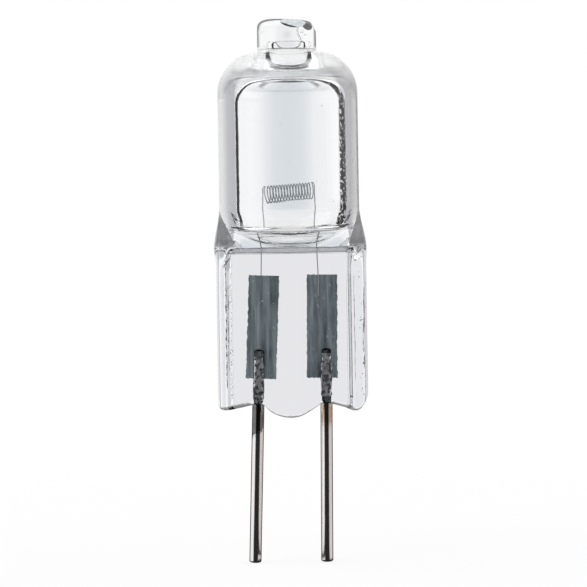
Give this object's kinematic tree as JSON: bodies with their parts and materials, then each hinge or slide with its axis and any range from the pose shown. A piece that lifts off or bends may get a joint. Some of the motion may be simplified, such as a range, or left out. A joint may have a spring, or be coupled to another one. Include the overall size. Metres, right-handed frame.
{
  "type": "halogen capsule bulb",
  "caption": "Clear quartz capsule bulb with a chipped exhaust tip, a coiled filament, sealing foils in a flat pinch and straight wire contact pins.",
  "frame": {"origin": "midway between the contact pins, in the plane where they leave the glass", "axes": "+Z along the bulb's axis towards the exhaust tip, +X across the pinch towards the right pin, +Y to the back"},
  "size_m": [0.0088, 0.008, 0.0311],
  "materials": {
    "quartz": "clear, fire polished, pressed at the pinch",
    "tungsten": "drawn wire, satin",
    "foil": "rolled molybdenum foil, dull",
    "pin_metal": "drawn wire, satin, tarnished next to the glass"
  },
  "bodies": {
    "root": {"quartz_envelope": "quartz", "filament": "tungsten", "left_foil": "foil", "right_foil": "foil", "left_pin": "pin_metal", "right_pin": "pin_metal"}
  },
  "joints": []
}
